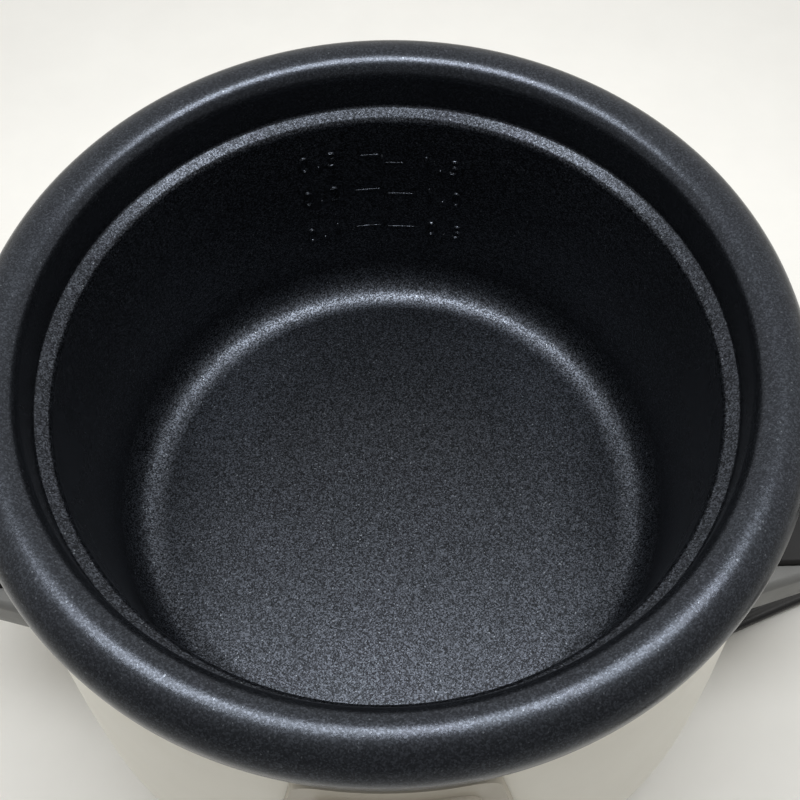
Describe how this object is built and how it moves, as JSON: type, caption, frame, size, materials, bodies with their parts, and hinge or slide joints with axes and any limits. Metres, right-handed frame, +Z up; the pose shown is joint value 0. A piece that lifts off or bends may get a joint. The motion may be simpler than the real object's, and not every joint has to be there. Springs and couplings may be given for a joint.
{
  "type": "rice cooker",
  "caption": "Small drum rice cooker, open: lift-out dark pot with rolled lip in a cream flared body, grey front panel with cook key, ear handles and mains lead.",
  "frame": {"origin": "on the table, on the axis of the pot", "axes": "+Z up the axis of the pot, -Y to the front with the key, +X to the right handle"},
  "size_m": [0.329, 0.2304, 0.114],
  "materials": {
    "pot_coating": "black non-stick coat with fine bright speckle",
    "shell_paint": "smooth cream gloss paint",
    "panel_grey": "satin warm grey",
    "face_grey": "satin dark grey",
    "handle_grey": "satin grey",
    "grip_black": "black, satin",
    "ring_dark": "heat-proof dark plastic",
    "well_steel": "bright sheet steel",
    "cast_aluminium": "cast and turned",
    "element_steel": "dull tube",
    "steel": "zinc plated",
    "ferrite": "dark sintered",
    "brass": "plated",
    "white_plastic": "moulded",
    "plunger_plastic": "moulded",
    "base_plastic": "moulded, fine grain",
    "foot_rubber": "soft",
    "red_lens": "clear red",
    "amber_lens": "clear amber",
    "cord_black": "flexible",
    "plug_black": "moulded"
  },
  "bodies": {
    "cooker": {"base_screws": "steel", "base_tray": "base_plastic", "bottom_cover": "base_plastic", "contact_switch": "white_plastic", "cook_lamp_lens": "red_lens", "cord_coil": "cord_black", "cord_gland": "cord_black", "cord_run": "cord_black", "cord_tail": "cord_black", "cord_tie": "plug_black", "feet": "foot_rubber", "front_panel": "panel_grey", "fuse_strap": "steel", "grip_cover_left": "grip_black", "grip_cover_right": "grip_black", "handle_left": "handle_grey", "handle_right": "handle_grey", "handle_screws": "steel", "heater_terminals": "brass", "heating_element": "element_steel", "heating_plate": "cast_aluminium", "inner_well": "well_steel", "keep_warm_thermostat": "white_plastic", "lamp_holder": "white_plastic", "lever_bracket": "steel", "outer_shell": "shell_paint", "panel_face": "face_grey", "panel_screws": "steel", "pivot_pin": "steel", "plate_screws": "steel", "plug_blades": "brass", "plug_body": "plug_black", "rim_ring": "ring_dark", "rim_ring_screws": "steel", "sensor_housing": "well_steel", "sensor_spring": "steel", "terminal_block": "white_plastic", "thermal_fuse": "white_plastic", "warm_lamp_lens": "amber_lens"},
    "pot": {"inner_pot": "pot_coating"},
    "sensor": {"sensor_cap": "cast_aluminium", "sensor_ferrite": "ferrite"},
    "magnet": {"magnet_carrier": "steel", "lift_magnet": "ferrite"},
    "lever": {"switch_lever": "steel", "switch_key": "grip_black"},
    "plunger": {"switch_plunger": "plunger_plastic"}
  },
  "joints": [
    {"name": "pot_lift", "type": "slide", "parent": "cooker", "child": "pot", "axis": [0, 0, 1], "range_m": [0, 0.09]},
    {"name": "cook_key", "type": "hinge", "parent": "cooker", "child": "lever", "pos_m": [0, -0.036, 0.0165], "axis": [1, 0, 0], "range_deg": [0, 8], "stiffness_Nm_per_rad": 0.9, "springref_deg": -8.59},
    {"name": "magnet_lift", "type": "slide", "parent": "cooker", "child": "magnet", "axis": [0, 0, 1], "range_m": [0, 0.00503]},
    {"name": "contact_press", "type": "slide", "parent": "cooker", "child": "plunger", "axis": [0, 0, 1], "range_m": [0, 0.00182]},
    {"name": "sensor_press", "type": "slide", "parent": "cooker", "child": "sensor", "axis": [0, 0, 1], "range_m": [-0.0015, 0], "stiffness_N_per_m": 400, "springref_m": 0.002, "deforming": ["sensor_spring"]}
  ],
  "couplings": [
    {"joint": "magnet_lift", "follows": "cook_key", "m_per_rad": 0.036},
    {"joint": "contact_press", "follows": "cook_key", "m_per_rad": 0.013}
  ]
}
